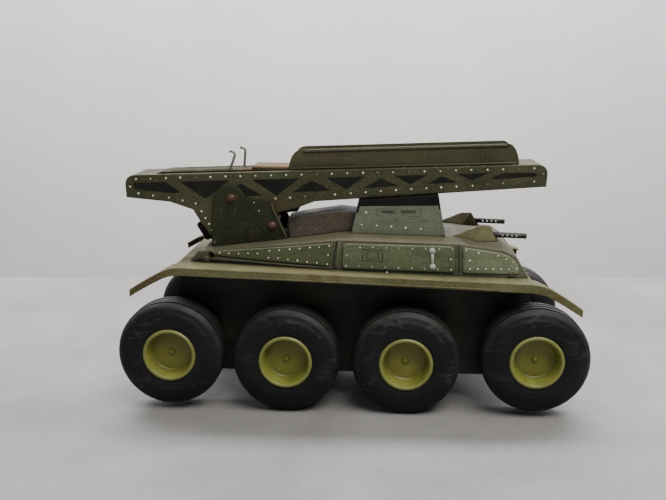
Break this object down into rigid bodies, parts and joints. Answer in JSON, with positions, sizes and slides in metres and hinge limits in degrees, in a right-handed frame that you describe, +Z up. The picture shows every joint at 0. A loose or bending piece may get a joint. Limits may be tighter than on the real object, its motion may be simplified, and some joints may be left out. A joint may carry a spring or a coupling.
{
  "type": "toy rocket launcher carrier",
  "caption": "Tin toy carrier on rubber-tyred wheels with a printed riveted body, fixed turret and guns, and a hinged girder that holds a rocket cradle and sprung launch hooks.",
  "frame": {"origin": "on the ground, below the middle of the toy's box", "axes": "+X forward along the toy, +Y to its left, +Z up"},
  "size_m": [0.2666, 0.116, 0.148],
  "materials": {
    "hull_tin": "worn printed paint",
    "fender_tin": "worn printed paint",
    "girder_tin": "worn printed paint",
    "dark_tin": "worn printed paint",
    "rusty_tin": "worn and rusty paint",
    "chassis_black": "satin",
    "gun_steel": "worn black",
    "copper": "tarnished copper",
    "steel": "dull",
    "brass": "dull",
    "hub_plastic": "satin moulded",
    "tyre": "dusty rubber"
  },
  "bodies": {
    "hull": {"chassis": "chassis_black", "fender_plate": "fender_tin", "hull_shell": "hull_tin", "hump": "rusty_tin", "turret": "hull_tin", "gun_shield_right": "fender_tin", "gun_shield_left": "fender_tin", "gun_barrel_right": "gun_steel", "gun_barrel_left": "gun_steel", "launcher_bracket": "dark_tin", "pivot_rivet": "copper", "spacer_rivet": "copper", "catch_pin": "steel", "catch_spring": "steel", "motor_plate_right": "steel", "motor_plate_left": "steel", "motor_pillars": "steel"},
    "girder": {"girder": "girder_tin", "slide_cover": "rusty_tin", "cradle": "fender_tin", "cradle_rivets": "copper", "guide_rails": "steel", "spring_anchor": "steel", "rest_pad": "chassis_black", "launch_spring": "steel"},
    "slider": {"launch_slider": "steel", "launch_hook_right": "steel", "launch_hook_left": "steel"},
    "catch": {"catch_lever": "chassis_black"},
    "idler": {"idler_shaft": "steel", "idler_gear": "brass"},
    "flywheel": {"flywheel_shaft": "steel", "flywheel": "steel"},
    "wheels_1": {"axle_1": "steel", "hub_1_right": "hub_plastic", "hub_1_left": "hub_plastic", "tyre_1_right": "tyre", "tyre_1_left": "tyre"},
    "wheels_2": {"axle_2": "steel", "hub_2_right": "hub_plastic", "hub_2_left": "hub_plastic", "tyre_2_right": "tyre", "tyre_2_left": "tyre"},
    "wheels_3": {"axle_3": "steel", "hub_3_right": "hub_plastic", "hub_3_left": "hub_plastic", "tyre_3_right": "tyre", "tyre_3_left": "tyre", "drive_gear": "brass"},
    "wheels_4": {"axle_4": "steel", "hub_4_right": "hub_plastic", "hub_4_left": "hub_plastic", "tyre_4_right": "tyre", "tyre_4_left": "tyre"}
  },
  "joints": [
    {"name": "girder_tilt", "type": "hinge", "parent": "hull", "child": "girder", "pos_m": [-0.0705, 0, 0.1157], "axis": [0, -1, 0], "range_deg": [0, 36]},
    {"name": "hook_slide", "type": "slide", "parent": "girder", "child": "slider", "axis": [-0.9995, 0, -0.0332], "range_m": [0, 0.034], "stiffness_N_per_m": 60, "springref_m": -0.01},
    {"name": "catch_rock", "type": "hinge", "parent": "hull", "child": "catch", "pos_m": [-0.081, 0, 0.0896], "axis": [0, 1, 0], "range_deg": [0, 12], "stiffness_Nm_per_rad": 0.02, "springref_deg": -8.59},
    {"name": "axle_1_spin", "type": "hinge", "parent": "hull", "child": "wheels_1", "pos_m": [-0.1005, 0, 0.0327], "axis": [0, 1, 0], "continuous": true},
    {"name": "axle_2_spin", "type": "hinge", "parent": "hull", "child": "wheels_2", "pos_m": [-0.035, 0, 0.03], "axis": [0, 1, 0], "continuous": true},
    {"name": "axle_3_spin", "type": "hinge", "parent": "hull", "child": "wheels_3", "pos_m": [0.032, 0, 0.03], "axis": [0, 1, 0], "continuous": true},
    {"name": "axle_4_spin", "type": "hinge", "parent": "hull", "child": "wheels_4", "pos_m": [0.1033, 0, 0.0327], "axis": [0, 1, 0], "continuous": true},
    {"name": "idler_spin", "type": "hinge", "parent": "hull", "child": "idler", "pos_m": [0.02411, 0, 0.04483], "axis": [0, 1, 0], "continuous": true},
    {"name": "flywheel_spin", "type": "hinge", "parent": "hull", "child": "flywheel", "pos_m": [0.00585, 0, 0.05077], "axis": [0, 1, 0], "continuous": true}
  ],
  "couplings": [
    {"joint": "idler_spin", "follows": "axle_3_spin", "ratio": -2.5},
    {"joint": "flywheel_spin", "follows": "axle_3_spin", "ratio": 7.5}
  ]
}
